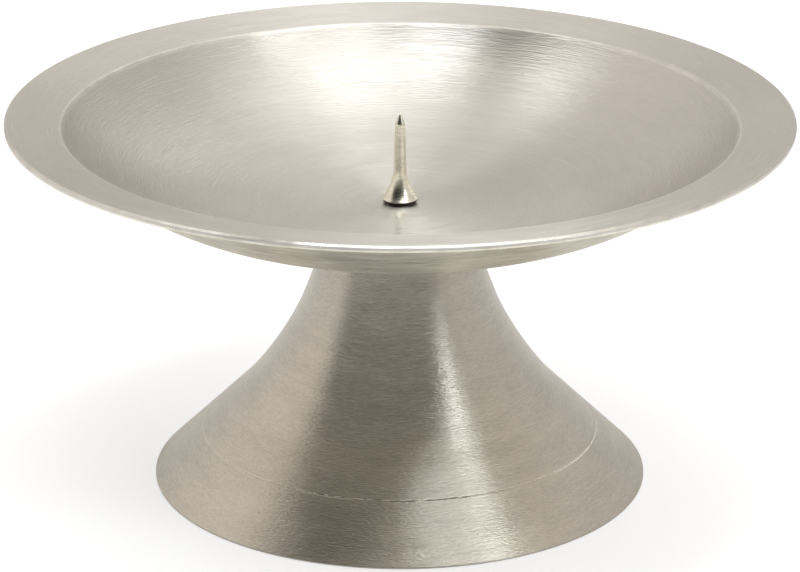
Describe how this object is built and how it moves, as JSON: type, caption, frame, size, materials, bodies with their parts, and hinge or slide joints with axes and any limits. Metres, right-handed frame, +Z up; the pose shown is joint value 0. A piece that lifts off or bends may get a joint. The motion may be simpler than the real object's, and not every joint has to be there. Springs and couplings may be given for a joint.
{
  "type": "pricket candlestick",
  "caption": "Low pricket candlestick in satin nickel: a wide drip dish with a rising rim on a hollow trumpet foot, and a short spike in its middle that a candle is pushed onto.",
  "frame": {"origin": "centre of the ring that the foot stands on, on the resting plane", "axes": "+Z up along the axis that every piece is turned about, X and Y level"},
  "size_m": [0.14, 0.14, 0.0685],
  "materials": {
    "satin_nickel_dish": "satin nickel plate, brushed by hand in rings round the axis",
    "satin_nickel_foot": "satin nickel plate, brushed in rings round the axis",
    "bright_nickel": "bright nickel plate over fine turning marks",
    "zinc_steel": "zinc-plated steel fasteners"
  },
  "bodies": {
    "root": {"drip_dish": "satin_nickel_dish", "foot": "satin_nickel_foot", "pricket": "bright_nickel", "flat_washer": "zinc_steel", "spring_washer": "zinc_steel", "hex_nut": "zinc_steel"}
  },
  "joints": []
}
